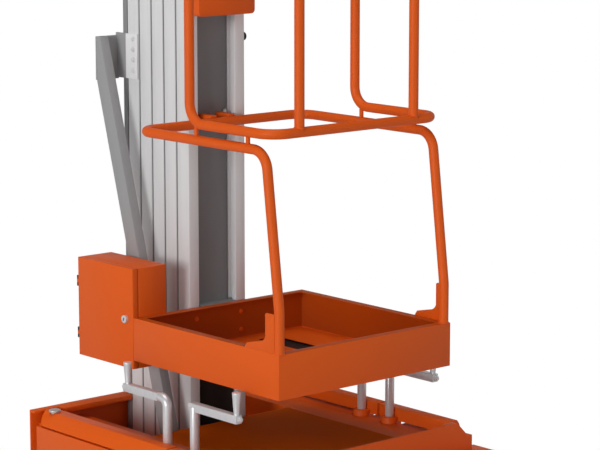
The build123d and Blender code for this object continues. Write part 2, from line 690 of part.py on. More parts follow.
# Outrigger arms with jack tubes, cranks, and the legs that slide in the tubes
for corner, side, pivot_y, jack_y, way, shows in OUTRIGGERS:
    y_end = jack_y - way * ARM_END
    y0, y1 = sorted((pivot_y + way * nose_r, y_end))
    hollow_y0, hollow_y1 = sorted((pivot_y - way * nose_r, y_end + way * ARM_WALL))
    with BuildPart() as outrigger_arm:
        with BuildSketch(Plane.XZ.offset(-y1)):
            Polygon(
                (side * ARM_IN, arm_bottom), (side * HULL_HALF, arm_bottom),
                (side * (HULL_HALF - ARM_SLOPE), HULL_TOP), (side * ARM_IN, HULL_TOP),
                align=None,
            )
        extrude(amount=y1 - y0)
        with BuildSketch(Plane.XZ.offset(-hollow_y1)):
            Polygon(
                (side * (ARM_IN + ARM_WALL), arm_bottom + ARM_WALL),
                (side * (HULL_HALF - 2.4 * ARM_WALL), arm_bottom + ARM_WALL),
                (side * (HULL_HALF - ARM_SLOPE - ARM_WALL / 2), HULL_TOP - ARM_WALL),
                (side * (ARM_IN + ARM_WALL), HULL_TOP - ARM_WALL),
                align=None,
            )
        extrude(amount=hollow_y1 - hollow_y0, mode=Mode.SUBTRACT)
        with BuildSketch(Plane.XY.offset(arm_bottom)) as plan:
            with Locations((side * PIVOT_X, (pivot_y + y_end) / 2)):
                Rectangle(4 * nose_r, abs(pivot_y - y_end))
            with Locations((side * PIVOT_X, pivot_y)):
                Circle(nose_r)
        extrude(plan.sketch, amount=HULL_TOP - arm_bottom, mode=Mode.INTERSECT)
        drum(side * PIVOT_X, pivot_y, arm_bottom - 1,
             HULL_TOP + 1 if shows else HULL_TOP - ARM_WALL, PIN_R + PIN_FIT, Mode.SUBTRACT)
        drum(side * JACK_X, jack_y, JACK_TUBE_BOTTOM, JACK_TUBE_TOP, JACK_TUBE_R)
        drum(side * JACK_X, jack_y, JACK_TUBE_BOTTOM, JACK_TUBE_TOP - JACK_LID,
             JACK_TUBE_R - JACK_TUBE_WALL, Mode.SUBTRACT)
        drum(side * JACK_X, jack_y, JACK_TUBE_TOP - JACK_LID - 1, HULL_TOP + 1, SHAFT_R + WELD,
             Mode.SUBTRACT)
    save(outrigger_arm.part, f"outrigger_arm_{corner}")
    x = side * JACK_X
    grip_y = jack_y + way * CRANK_REACH
    with BuildPart() as crank:
        if shows:
            arm_start = jack_y + way * CRANK_NECK
            tube_run([(x, jack_y, JACK_TUBE_TOP - JACK_LID), (x, jack_y, CRANK_Z),
                      (x, arm_start, CRANK_Z)], CRANK_BEND, radius=SHAFT_R, bore=0)
        else:
            arm_start = jack_y - way * SHAFT_R
            drum(x, jack_y, JACK_TUBE_TOP - JACK_LID, CRANK_Z, SHAFT_R)
        low, high = sorted((arm_start, grip_y + way * CRANK_W / 2))
        block(x - CRANK_W / 2, x + CRANK_W / 2, low, high, CRANK_Z - CRANK_T / 2,
              CRANK_Z + CRANK_T / 2)
        with Locations((x, grip_y, CRANK_Z)):
            Cone(GRIP_FOOT_R, GRIP_R, CRANK_T / 2 + GRIP_L,
                 align=(Align.CENTER, Align.CENTER, Align.MIN))
    save(crank.part, f"crank_{corner}")
    with BuildPart() as jack_leg:
        drum(x, jack_y, FOOT_Z, FOOT_Z + FOOT_T, FOOT_R)
        drum(x, jack_y, FOOT_Z + FOOT_T, JACK_TUBE_TOP - JACK_LID - LEG_STOP, leg_r)
    save(jack_leg.part, f"jack_leg_{corner}")

# Strut from the tub floor to the fixed section, with its brackets
strut_rise = BRACKET_Z1 - STRUT_FOOT_Z
strut_run = STRUT_TOP_Y - STRUT_FOOT_Y
reach = math.hypot(strut_run, strut_rise)
strut_plane = Plane(origin=(STRUT_X, STRUT_FOOT_Y, STRUT_FOOT_Z), x_dir=(1, 0, 0),
                    z_dir=(0, strut_run, strut_rise))
strut_out = STRUT_X - STRUT_W / 2
strut_in = STRUT_X + STRUT_W / 2
back_y = STRUT_REAR - BRACKET_T
with BuildPart() as strut:
    with BuildSketch(strut_plane):
        Rectangle(STRUT_W, STRUT_D)
        Rectangle(STRUT_W - 2 * STRUT_WALL, STRUT_D - 2 * STRUT_WALL, mode=Mode.SUBTRACT)
    extrude(amount=reach + STRUT_D)
    block(strut_out - 1, strut_in + 1, back_y, back_y + 2 * STRUT_D, BRACKET_Z0 - STRUT_D,
          BRACKET_Z1 + 2 * STRUT_D, Mode.SUBTRACT)
    block(strut_out - 1, strut_in + 1, back_y - 2 * STRUT_D, back_y + 1, BRACKET_Z1,
          BRACKET_Z1 + 2 * STRUT_D, Mode.SUBTRACT)
save(strut.part, "strut")
mast_side = -MAST_W / 2
with BuildPart() as strut_mounts:
    block(strut_out, mast_side, back_y, STRUT_REAR, BRACKET_Z0, BRACKET_Z1)
    block(mast_side - BRACKET_T, mast_side, mast_rear - section_d + 2, STRUT_REAR,
          BRACKET_Z0 + 4, BRACKET_Z1 + BRACKET_UP)
    block(strut_out - 20, strut_in + 20, STRUT_FOOT_Y - STRUT_FOOT_L / 2,
          STRUT_FOOT_Y + STRUT_FOOT_L / 2, HULL_BOTTOM + PLATE, HULL_BOTTOM + 2 * PLATE)
    for x in (strut_out - CHEEK_T, strut_in):
        block(x, x + CHEEK_T, STRUT_FOOT_Y - STRUT_FOOT_L / 2, STRUT_FOOT_Y + STRUT_FOOT_L / 2,
              HULL_BOTTOM + PLATE, STRUT_FOOT_Z + STRUT_FOOT_L / 3)
save(strut_mounts.part, "strut_mounts")

# Heavy pieces inside the side boxes
heavy_in = TUB_HALF + PLATE
heavy_out = HULL_HALF - PLATE - SIDE_CLEAR
HEAVY = (
    # name, side, length
    ("battery_pack", -1, BATTERY_L),
    ("power_unit", 1, POWER_L),
)
for name, side, length in HEAVY:
    with BuildPart() as heavy:
        low, high = span(side, heavy_in, heavy_out)
        block(low, high, HEAVY_Y, HEAVY_Y + length, HULL_BOTTOM + PLATE,
              LEDGE_Z - PLATE - LID_CLEAR)
    save(heavy.part, name)

# Wheels: front pair on stub axles, rear pair in swivel forks
for name, side in (("left", -1), ("right", 1)):
    x0 = side * FRONT_X - FRONT_W / 2
    with BuildPart() as front_tyre:
        axle(x0, x0 + FRONT_W, FRONT_Y, FRONT_R, FRONT_R)
        axle(x0, x0 + FRONT_W, FRONT_Y, FRONT_R, FRONT_R - TYRE_T, Mode.SUBTRACT)
    save(front_tyre.part, f"front_tyre_{name}")
    with BuildPart() as front_hub:
        axle(x0 + 4, x0 + FRONT_W - 4, FRONT_Y, FRONT_R, FRONT_R - TYRE_T)
        axle(x0, x0 + FRONT_W, FRONT_Y, FRONT_R, AXLE_R + PIN_FIT, Mode.SUBTRACT)
    save(front_hub.part, f"front_hub_{name}")
    c0 = side * CASTOR_X - CASTOR_W / 2
    wheel_y = CASTOR_Y - CASTOR_TRAIL
    with BuildPart() as castor_tyre:
        axle(c0, c0 + CASTOR_W, wheel_y, CASTOR_R, CASTOR_R)
        axle(c0, c0 + CASTOR_W, wheel_y, CASTOR_R, CASTOR_R - CASTOR_TYRE_T, Mode.SUBTRACT)
    save(castor_tyre.part, f"castor_tyre_{name}")
    with BuildPart() as castor_hub:
        axle(c0 + 2, c0 + CASTOR_W - 2, wheel_y, CASTOR_R, CASTOR_R - CASTOR_TYRE_T)
        axle(c0, c0 + CASTOR_W, wheel_y, CASTOR_R, 6 + PIN_FIT, Mode.SUBTRACT)
    save(castor_hub.part, f"castor_hub_{name}")
    with BuildPart() as castor_fork:
        drum(side * CASTOR_X, CASTOR_Y, CASTOR_R * 2 + 8, HULL_BOTTOM - PIN_FIT, 34)
        block(c0 - 9, c0 + CASTOR_W + 9, wheel_y - 22, CASTOR_Y + 30, CASTOR_R * 2 + 6,
              CASTOR_R * 2 + 12)
        for x in (c0 - 9, c0 + CASTOR_W + 5):
            block(x, x + 4, wheel_y - 22, wheel_y + 40, CASTOR_R - 14, CASTOR_R * 2 + 8)
        axle(c0 - 9, c0 + CASTOR_W + 9, wheel_y, CASTOR_R, 6)
    save(castor_fork.part, f"castor_fork_{name}")
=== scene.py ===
# %% [markdown]
# # A vertical mast lift, dressed in Blender
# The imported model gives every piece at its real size, in metres. This lesson keeps those
# shapes, softens their edges, models the small parts that a step away still shows, and then
# gives each surface its finish. Every piece rides on the body that carries it.

# %% Load the frame
import json
import math
import bpy
from mathutils import Euler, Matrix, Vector


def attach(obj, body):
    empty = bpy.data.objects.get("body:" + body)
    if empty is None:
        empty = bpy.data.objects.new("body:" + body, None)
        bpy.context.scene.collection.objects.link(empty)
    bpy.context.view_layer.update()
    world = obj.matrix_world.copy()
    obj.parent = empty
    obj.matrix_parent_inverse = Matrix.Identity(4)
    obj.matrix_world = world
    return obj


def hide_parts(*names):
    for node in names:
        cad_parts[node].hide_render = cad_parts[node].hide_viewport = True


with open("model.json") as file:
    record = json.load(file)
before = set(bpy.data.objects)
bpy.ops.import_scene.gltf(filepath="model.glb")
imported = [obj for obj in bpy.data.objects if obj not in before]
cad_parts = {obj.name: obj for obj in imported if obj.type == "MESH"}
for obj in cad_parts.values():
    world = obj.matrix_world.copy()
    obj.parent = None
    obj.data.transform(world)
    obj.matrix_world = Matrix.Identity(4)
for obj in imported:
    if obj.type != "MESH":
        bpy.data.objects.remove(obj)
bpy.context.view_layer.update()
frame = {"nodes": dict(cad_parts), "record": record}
nodes = frame["nodes"]
body_of = {}
for body, members in frame["record"]["behaviour"]["bodies"].items():
    for member in members:
        body_of[member] = body

# %% [markdown]
# ## Three habits before any modelling
# An operator works on whatever is selected, and the frame arrives selected. So each step
# first picks exactly one object. A modifier is added, set and applied in one go, and a
# finished piece has its place put into its mesh, so that its object sits at the origin.

# %% Picking, modifiers and settling
def pick(obj):
    """Selects one object only and makes it the active one."""
    bpy.ops.object.select_all(action="DESELECT")
    obj.select_set(True)
    bpy.context.view_layer.objects.active = obj
    return obj


def finish_with(obj, kind, **settings):
    """Adds one modifier with its settings and applies it."""
    pick(obj)
    modifier = obj.modifiers.new(kind.title(), kind)
    for name, value in settings.items():
        setattr(modifier, name, value)
    bpy.ops.object.modifier_apply(modifier=modifier.name)
    return obj


def settle(obj, place=(0, 0, 0), turn=(0, 0, 0)):
    """Puts an object's place and turn, in degrees, into its mesh."""
    pick(obj)
    obj.rotation_euler = Euler([math.radians(angle) for angle in turn])
    obj.location = Vector(place)
    bpy.ops.object.transform_apply(location=True, rotation=True, scale=True)
    return obj


def joined(name, objs):
    """Makes one object of several, under a plain name."""
    bpy.ops.object.select_all(action="DESELECT")
    for obj in objs:
        obj.select_set(True)
    bpy.context.view_layer.objects.active = objs[0]
    if len(objs) > 1:
        bpy.ops.object.join()
    obj = bpy.context.view_layer.objects.active
    obj.name = name
    obj.data.name = name
    return obj


# %% [markdown]
# ## Shader maths in plain expressions
# A node tree is easier to read as a formula. `Wire` holds one socket, and adding or
# multiplying wires adds the Math nodes. `Finish.node` makes any other node: its type, its
# settings, then the values or links of its sockets.

# %% The Wire and Finish classes
class Wire:
    """One output socket that takes part in sums."""

    def __init__(self, finish, socket):
        self.finish = finish
        self.socket = socket

    def maths(self, operation, first, second):
        return self.finish.node("ShaderNodeMath", {"operation": operation}, {0: first, 1: second})

    def __add__(self, other):
        return self.maths("ADD", self, other)

    def __radd__(self, other):
        return self.maths("ADD", other, self)

    def __sub__(self, other):
        return self.maths("SUBTRACT", self, other)

    def __rsub__(self, other):
        return self.maths("SUBTRACT", other, self)

    def __mul__(self, other):
        return self.maths("MULTIPLY", self, other)

    def __rmul__(self, other):
        return self.maths("MULTIPLY", other, self)

    def above(self, limit):
        return self.maths("GREATER_THAN", self, limit)


class Finish:
    """A material whose nodes are made by short calls."""

    def __init__(self, name, **constants):
        self.material = bpy.data.materials.new(name)
        self.material.use_nodes = True
        self.tree = self.material.node_tree
        self.shader = self.tree.nodes["Principled BSDF"]
        self.place = Wire(self, self.tree.nodes.new("ShaderNodeTexCoord").outputs["Object"])
        for socket, value in constants.items():
            self.set(socket.replace("_", " "), value)

    def set(self, socket, value):
        target = self.shader.inputs[socket]
        if isinstance(value, Wire):
            self.tree.links.new(value.socket, target)
        else:
            target.default_value = value

    def node(self, kind, settings, sockets, output=0):
        made = self.tree.nodes.new(kind)
        for name, value in settings.items():
            if name == "stops":
                ramp = made.color_ramp.elements
                while len(ramp) < len(value):
                    ramp.new(0.5)
                for stop, (position, shade) in zip(ramp, value):
                    stop.position = position
                    stop.color = (shade, shade, shade, 1)
            else:
                setattr(made, name, value)
        for name, value in sockets.items():
            if isinstance(value, Wire):
                self.tree.links.new(value.socket, made.inputs[name])
            else:
                made.inputs[name].default_value = value
        return Wire(self, made.outputs[output])

    def noise(self, scale, stretch=(1, 1, 1), detail=2.0, rough=0.5):
        """Noise from 0 to 1, with its grain stretched along the axes of the part."""
        placed = self.node("ShaderNodeMapping", {}, {"Vector": self.place, "Scale": stretch})
        return self.node("ShaderNodeTexNoise", {}, {
            "Vector": placed, "Scale": scale, "Detail": detail, "Roughness": rough})

    def along(self, axis):
        """The place along one axis of the part, in metres."""
        return self.node("ShaderNodeSeparateXYZ", {}, {"Vector": self.place},
                         output="XYZ".index(axis))

    def blend(self, factor, first, second):
        """Mixes two colours by a factor from 0 to 1."""
        mix = self.tree.nodes.new("ShaderNodeMix")
        mix.data_type = "RGBA"
        for name, value in (("Factor_Float", factor), ("A_Color", first), ("B_Color", second)):
            target = next(s for s in mix.inputs if s.identifier == name)
            if isinstance(value, Wire):
                self.tree.links.new(value.socket, target)
            else:
                target.default_value = value
        return Wire(self, next(s for s in mix.outputs if s.identifier == "Result_Color"))

    def bump(self, height, distance, strength=1.0):
        """Makes the surface rise by a height map, times a distance in metres."""
        self.set("Normal", self.node("ShaderNodeBump", {}, {
            "Height": height, "Distance": distance, "Strength": strength}))


def shade(red, green, blue):
    """A screen colour from 0 to 255 as the linear colour that a shader takes."""
    return tuple(((c / 255 + 0.055) / 1.055) ** 2.4 if c > 10 else c / 3294.6
                 for c in (red, green, blue)) + (1.0,)


def darker(colour, share):
    """The same colour with part of its light taken away."""
    return tuple(channel * share for channel in colour[:3]) + (1.0,)


# %% [markdown]
# ## Powder-coated orange
# The frame is steel sheet and tube under a baked powder coat. Such a coat isn't flat: it
# flows into a faint orange-peel texture, is a little richer in thick places and slightly
# dusty in others. The inner faces of the tray's walls take a darker painted shade, and the
# deck is worn matt. A coat can take a second colour where a mask of the place is 1.

# %% Powder coat
PEEL_DEPTH = 0.00010
ORANGE = shade(229, 93, 17)
# Painted shade: a darker orange for the shade that falls on the inner faces of the tray's walls.
TRAY_INSIDE_SHADE = darker(shade(214, 88, 12), 0.7)
DECK_ORANGE = shade(240, 104, 4)
TRAY_INNER_X = 0.3088
TRAY_INNER_Y = (-0.3988, 0.2188)
TRAY_FLOOR_Z = 0.498


def powder_coat(name, colour, roughness=0.42, shine=0.22, second=None):
    """A baked coat; second gives another colour and the mask of where it lies."""
    coat = Finish(name, Metallic=0.0, Specular_IOR_Level=shine)
    cloud = coat.noise(3.0, detail=4.0)
    speck = coat.noise(420.0, detail=1.0)
    tone = coat.blend(cloud, darker(colour, 0.95), darker(colour, 1.04))
    if second:
        tone = coat.blend(second[1](coat), tone, second[0])
    coat.set("Base Color", coat.blend(speck * 0.12, tone, darker(colour, 0.8)))
    coat.set("Roughness", roughness + 0.08 * cloud)
    coat.bump(coat.noise(260.0, detail=2.0) + 0.35 * speck, PEEL_DEPTH)
    return coat


def inside_tray(coat):
    """1 on the inner faces of the tray's walls, where the painted shade goes, 0 on its floor and
    its outer faces.
    """
    x, y = coat.along("X"), coat.along("Y")
    return (x.above(-TRAY_INNER_X) * (1 - x.above(TRAY_INNER_X))
            * y.above(TRAY_INNER_Y[0]) * (1 - y.above(TRAY_INNER_Y[1]))
            * coat.along("Z").above(TRAY_FLOOR_Z))


orange_coat = powder_coat("orange_powder_coat", ORANGE).material
deck_coat = powder_coat("deck_powder_coat", DECK_ORANGE, roughness=0.75, shine=0.03).material
tray_coat = powder_coat("tray_powder_coat", ORANGE, second=(TRAY_INSIDE_SHADE, inside_tray)).material

# %% [markdown]
# ## Drawn and anodised aluminium
# Mast profiles are pressed through a die, which leaves fine lines along their length, and
# are then anodised to a dull silver. Noise stretched far along the height gives those
# lines, which vary the colour and the relief; broader bands vary the colour and the gloss.
# A painted shade runs as a soft grey line down every seam between two sections, where the
# gap and the rounded corners would be in shade, and the cover at the back is greyer all over.

# %% Mast profile
SILVER = shade(236, 236, 237)
BACK_BAND = shade(118, 118, 120)
BACK_BAND_Y = 0.5085
SEAM_FIRST = 0.230
SEAM_PITCH = 0.056
SEAM_WIDTH = 0.0046
FRONT_FACE = 0.234


def die_drawn(name, colour):
    drawn = Finish(name, Metallic=0.12, Specular_IOR_Level=0.3)
    lines = drawn.noise(900.0, stretch=(1, 1, 0.004), detail=3.0)
    bands = drawn.noise(60.0, stretch=(1, 1, 0.01), detail=2.0)
    behind = drawn.along("Y").above(BACK_BAND_Y)
    depth = drawn.along("Y")
    # Painted shade: a grey line down each seam in front of FRONT_FACE, in the BACK_BAND grey.
    from_seam = depth.maths("PINGPONG", depth - SEAM_FIRST, SEAM_PITCH / 2)
    seam_shade_mask = drawn.node("ShaderNodeMapRange", {}, {
        "Value": from_seam, "From Min": 0.0, "From Max": SEAM_WIDTH, "To Min": 0.75, "To Max": 0.0})
    seam_shaded_tone = drawn.blend(seam_shade_mask * depth.above(FRONT_FACE), colour, BACK_BAND)
    base = drawn.blend(behind, seam_shaded_tone, BACK_BAND)
    drawn.set("Base Color", drawn.blend(lines * 0.3 + bands * 0.2, base, darker(colour, 0.62)))
    drawn.set("Roughness", 0.32 + 0.2 * bands)
    drawn.bump(lines, 0.00004)
    return drawn.material


profile_silver = die_drawn("anodised_profile", SILVER)

# %% [markdown]
# ## Plain steels, rubber and plastic
# Zinc plate is bright with cloudy patches. The strut has a grey enamel, and the plate that
# holds it to the mast is bare aluminium. Tyres are matt dark rubber with a fine grain, and
# the small plastic pieces have a moulded skin.

# %% Small finishes
def plated(name, colour, roughness, metallic):
    plate = Finish(name, Metallic=metallic)
    patch = plate.noise(90.0, detail=3.0)
    fine = plate.noise(700.0, detail=2.0)
    plate.set("Base Color", plate.blend(patch, darker(colour, 0.86), colour))
    plate.set("Roughness", roughness + 0.12 * patch)
    plate.bump(fine, 0.00003)
    return plate.material


def moulded(name, colour, grain=0.00008, roughness=0.55):
    skin = Finish(name, Metallic=0.0)
    fine = skin.noise(1200.0, detail=2.0)
    wide = skin.noise(25.0, detail=3.0)
    skin.set("Base Color", skin.blend(wide, darker(colour, 0.75), darker(colour, 1.25)))
    skin.set("Roughness", roughness + 0.15 * wide)
    skin.bump(fine, grain)
    return skin.material


BRACKET_LOW = 1.225
BRACKET_OUT = -0.112


def bracket_on_mast(coat):
    """1 on the bare aluminium plate that holds the strut to the mast's side."""
    return (coat.along("X").above(BRACKET_OUT) * coat.along("Z").above(BRACKET_LOW)
            * (1 - coat.along("Y").above(BACK_BAND_Y)))


strut_enamel = powder_coat("grey_enamel", shade(158, 158, 159), roughness=0.36,
                           second=(SILVER, bracket_on_mast)).material
crank_plate = plated("bright_plate", shade(226, 226, 228), roughness=0.3, metallic=0.45)
zinc_plate = plated("zinc_plate", shade(206, 206, 204), roughness=0.34, metallic=0.5)
black_plastic = moulded("black_plastic", shade(26, 26, 27))
tyre_rubber = moulded("tyre_rubber", shade(52, 52, 53), grain=0.0002, roughness=0.72)
hub_enamel = powder_coat("hub_enamel", shade(150, 152, 155), roughness=0.4).material
case_plastic = moulded("battery_case", shade(40, 41, 44), roughness=0.5)

# %% The carriage panel is a worn grey; below the tray that steel takes a near-black painted shade
PANEL_GREY = shade(132, 132, 133)
UNDER_TRAY_SHADE = shade(34, 30, 28)
UNDERSIDE_Z = 0.489
panel_coat = powder_coat("carriage_enamel", PANEL_GREY, roughness=0.5)
wear = panel_coat.noise(14.0, stretch=(1, 1, 0.2), detail=4.0)
# Painted shade: below UNDERSIDE_Z, under the tray, this steel turns near black.
low = panel_coat.along("Z").above(UNDERSIDE_Z)
worn = panel_coat.blend(wear, darker(PANEL_GREY, 0.8), darker(PANEL_GREY, 1.15))
panel_coat.set("Base Color", panel_coat.blend(low, UNDER_TRAY_SHADE, worn))
dark_steel = panel_coat.material

# %% One finish for each slot of the record
finishes = {
    "orange_paint": orange_coat,
    "mast_aluminium": profile_silver,
    "strut_grey": strut_enamel,
    "crank_steel": crank_plate,
    "dark_steel": dark_steel,
    "zinc_steel": zinc_plate,
    "black_plastic": black_plastic,
    "wheel_rubber": tyre_rubber,
    "hub_grey": hub_enamel,
    "battery_case": case_plastic,
}
slot_of = {row["node"]: row["material_slot"] for row in frame["record"]["subparts"]}

# %% [markdown]
# ## Real edges on every plate and tube
# A folded or sawn edge is never perfectly sharp, and the light that it catches is what
# makes sheet metal look real. Each node is copied, its shared corners are merged and its
# flat faces joined, and a small bevel goes round every sharp edge. Tubes, and the sheets
# under the floor, only need smooth shading, so their radius is 0.

# %% Softened copies
SHARP = math.radians(28)
SMOOTH = math.radians(35)
BEVEL_STEPS = 2


def dress(obj, body, slot, *replaced):
    """A finished piece gets its material, its slot and its body."""
    obj.data.materials.clear()
    obj.data.materials.append(finishes[slot])
    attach(obj, body)
    if replaced:
        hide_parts(*replaced)
    return obj


def merged_copy(node):
    """A copy of a node with shared corners and flat faces in one piece."""
    mesh = nodes[node].data.copy()
    obj = bpy.data.objects.new(node + "_piece", mesh)
    bpy.context.scene.collection.objects.link(obj)
    pick(obj)
    bpy.ops.object.mode_set(mode="EDIT")
    bpy.ops.mesh.select_all(action="SELECT")
    bpy.ops.mesh.customdata_custom_splitnormals_clear()
    bpy.ops.mesh.remove_doubles(threshold=0.00001)
    bpy.ops.mesh.dissolve_limited(angle_limit=math.radians(0.3))
    bpy.ops.object.mode_set(mode="OBJECT")
    return obj


def rounded(obj, width):
    """Bevels every sharp edge of an object."""
    return finish_with(obj, "BEVEL", width=width, segments=BEVEL_STEPS, limit_method="ANGLE",
                       angle_limit=SHARP)


def softened(node, edge):
    """The node's shape with a small round on its sharp edges."""
    obj = merged_copy(node)
    if edge:
        rounded(obj, edge)
    pick(obj)
    bpy.ops.object.shade_smooth_by_angle(angle=SMOOTH)
    return dress(obj, body_of[node], slot_of[node], node)


EDGES = (
    # node, edge radius in metres
    ("hull", 0.0016),
    ("deck", 0.001),
    ("nose_frame", 0.0016),
    ("front_fenders", 0.0012),
    ("pivot_pins", 0.0012),
    ("platform_tray", 0.0010),
    ("platform_beams", 0.0015),
    # The pan under the floor's slots is a dark sheet: painted shade for the dark seen through the
    # slots.
    ("floor_pan", 0),
    ("gusset_plates", 0.001),
    ("ring_brackets", 0.001),
    ("carriage_hood", 0.0010),
    ("control_box", 0.0012),
    ("control_box_door", 0.0012),
    ("door_hinges", 0.0005),
    ("door_lock", 0.0012),
    ("mast_stop", 0.002),
    ("outrigger_arm_rear_left", 0.0012),
    ("outrigger_arm_rear_right", 0.0012),
    ("outrigger_arm_front_left", 0.0012),
    ("outrigger_arm_front_right", 0.0012),
    ("crank_rear_left", 0.0014),
    ("crank_rear_right", 0.0014),
    ("crank_front_left", 0.0014),
    ("crank_front_right", 0.0014),
    ("jack_leg_rear_left", 0.0015),
    ("jack_leg_rear_right", 0.0015),
    ("jack_leg_front_left", 0.0015),
    ("jack_leg_front_right", 0.0015),
    ("castor_fork_left", 0.001),
    ("castor_fork_right", 0.001),
    ("strut", 0.0012),
    ("strut_mounts", 0.001),
    ("guard_posts", 0),
    ("lower_ring", 0),
    ("cage_uprights", 0),
    ("upper_ring", 0),
    ("front_bars", 0),
    ("top_rail_front", 0),
    ("top_rail_rear", 0),
    ("ring_links", 0),
    ("mast_section_1", 0.0008),
    ("mast_section_2", 0.0008),
    ("mast_section_3", 0.0008),
    ("mast_section_4", 0.0008),
    ("mast_section_5", 0.0008),
    ("mast_foot", 0.001),
    ("carriage", 0.001),
)
OWN_COAT = {"deck": deck_coat, "platform_tray": tray_coat}
for node, edge in EDGES:
    piece = softened(node, edge)
    if node in OWN_COAT:
        piece.data.materials[0] = OWN_COAT[node]
    print(node, len(piece.data.polygons), "faces")

# %% [markdown]
# ## Wheels turned from a profile
# A wheel is a lathe shape. Its half section is a closed loop of points, each with its
# place across the wheel and its radius. The Screw modifier sweeps the loop once round the
# X axis, which gives a closed ring. The tyres get rounded shoulders and grooves, the hubs
# a dished disc between a rim and a boss.

# %% Tyres and hubs
TURN_STEPS = 64
FRONT_TYRE = (
    # across, radius, in millimetres
    (-25, 84), (-25, 93), (-23.5, 96.5), (-20, 99), (-15.5, 99.8), (-14.5, 97.6), (-12.5, 97.6),
    (-11.5, 100), (-3.5, 100), (-2.5, 97.8), (2.5, 97.8), (3.5, 100), (11.5, 100), (12.5, 97.6),
    (14.5, 97.6), (15.5, 99.8), (20, 99), (23.5, 96.5), (25, 93), (25, 84),
)
FRONT_HUB = (
    (-21, 84), (21, 84), (21, 77), (18, 74.5), (10, 68), (8, 60), (7.5, 32), (9, 26), (19.5, 22.5),
    (21, 21), (21, 10.3), (-21, 10.3), (-21, 21), (-19.5, 22.5), (-9, 26), (-7.5, 32), (-8, 60),
    (-10, 68), (-18, 74.5), (-21, 77),
)
CASTOR_TYRE = (
    (-18, 50.5), (-18, 56), (-16.5, 60), (-13, 62), (-7, 62.5), (7, 62.5), (13, 62), (16.5, 60),
    (18, 56), (18, 50.5),
)
CASTOR_HUB = (
    (-16, 50.5), (16, 50.5), (16, 46), (13, 44), (6, 41), (5, 20), (7, 16), (15, 14), (16, 13),
    (16, 6.3), (-16, 6.3), (-16, 13), (-15, 14), (-7, 16), (-5, 20), (-6, 41), (-13, 44),
    (-16, 46),
)


def turned(name, profile, place):
    """A ring swept round the X axis from a closed half section."""
    mesh = bpy.data.meshes.new(name)
    count = len(profile)
    mesh.from_pydata([(across / 1000, 0, radius / 1000) for across, radius in profile],
                     [(i, (i + 1) % count) for i in range(count)], [])
    obj = bpy.data.objects.new(name, mesh)
    bpy.context.scene.collection.objects.link(obj)
    finish_with(obj, "SCREW", axis="X", angle=math.radians(360), steps=TURN_STEPS,
                render_steps=TURN_STEPS, screw_offset=0, use_merge_vertices=True)
    bpy.ops.object.mode_set(mode="EDIT")
    bpy.ops.mesh.select_all(action="SELECT")
    bpy.ops.mesh.normals_make_consistent(inside=False)
    bpy.ops.object.mode_set(mode="OBJECT")
    bpy.ops.object.shade_smooth_by_angle(angle=SMOOTH)
    return settle(obj, place)


WHEELS = (
    # kind, tyre section, hub section, distance from the mirror plane, y, height
    ("front", FRONT_TYRE, FRONT_HUB, 0.466, -0.436, 0.100),
    ("castor", CASTOR_TYRE, CASTOR_HUB, 0.345, 0.389, 0.0625),
)
for kind, tyre, hub, out, y, height in WHEELS:
    for side, sign in (("left", -1), ("right", 1)):
        for part, profile, slot in (("tyre", tyre, "wheel_rubber"), ("hub", hub, "hub_grey")):
            node = f"{kind}_{part}_{side}"
            piece = turned(node + "_piece", profile, (sign * out, y, height))
            dress(piece, body_of[node], slot, node)

# %% [markdown]
# ## Fasteners
# A screw head is six-sided, with a washer under it. Both are closed solids that sit on
# the face they hold, half a millimetre into it, so that no light shows between them.

# %% Bolts and nuts
TURN_TO = {"X": (0, 90, 0), "-X": (0, -90, 0), "Y": (-90, 0, 0), "-Y": (90, 0, 0),
           "Z": (0, 0, 0), "-Z": (180, 0, 0)}
SINK = 0.0005
WASHER_T = 0.0012
WASHER_SHARE = 1.35
HEAD_T = 0.005
HEAD_EDGE = 0.0006


def drum(radius, depth, sides, place, facing, edge=0.0):
    """A prism or a cylinder that stands on a place and faces along an axis."""
    bpy.ops.mesh.primitive_cylinder_add(vertices=sides, radius=radius, depth=depth + SINK,
                                        location=(0, 0, 0))
    obj = bpy.context.view_layer.objects.active
    for corner in obj.data.vertices:
        corner.co.z += (depth - SINK) / 2
    if edge:
        rounded(obj, edge)
    settle(obj, place, TURN_TO[facing])
    bpy.ops.object.shade_smooth_by_angle(angle=SMOOTH)
    return obj


def bolt(place, facing, size):
    """A washer and a six-sided head, as two overlapping solids."""
    return [drum(size * WASHER_SHARE, WASHER_T, 24, place, facing),
            drum(size, HEAD_T, 6, place, facing, HEAD_EDGE)]


BOLTS = (
    # name, body, slot, facing, size, places in millimetres
    ("bracket_bolts", "chassis", "mast_aluminium", "-X", 0.0065, (
        (-107.5, 473, 1350), (-107.5, 473, 1320), (-107.5, 473, 1290), (-107.5, 473, 1260))),
    ("strut_foot_bolts", "chassis", "zinc_steel", "Z", 0.006, (
        (-193, 205, 175), (-193, 271, 175), (-137, 205, 175), (-137, 271, 175))),
    ("tray_bolts", "platform", "orange_paint", "-Y", 0.0055, (
        (-87, 217, 573), (75, 217, 574), (-87, 217, 520), (75, 217, 520))),
    ("tie_bolts", "chassis", "zinc_steel", "Y", 0.006, (
        (-350, 550, 232), (-350, 550, 198), (350, 550, 232), (350, 550, 198))),
    ("foot_bolts", "chassis", "zinc_steel", "Z", 0.007, (
        (-118, 470, 180), (-118, 525, 180), (118, 470, 180), (118, 525, 180))),
    ("ring_bracket_bolts", "platform", "zinc_steel", "-Y", 0.005, (
        (-52, 258, 1150), (52, 258, 1150), (-52, 258, 1108), (52, 258, 1108))),
)
for name, body, slot, facing, size, places in BOLTS:
    heads = []
    for place in places:
        heads += bolt([value / 1000 for value in place], facing, size)
    dress(joined(name, heads), body, slot)

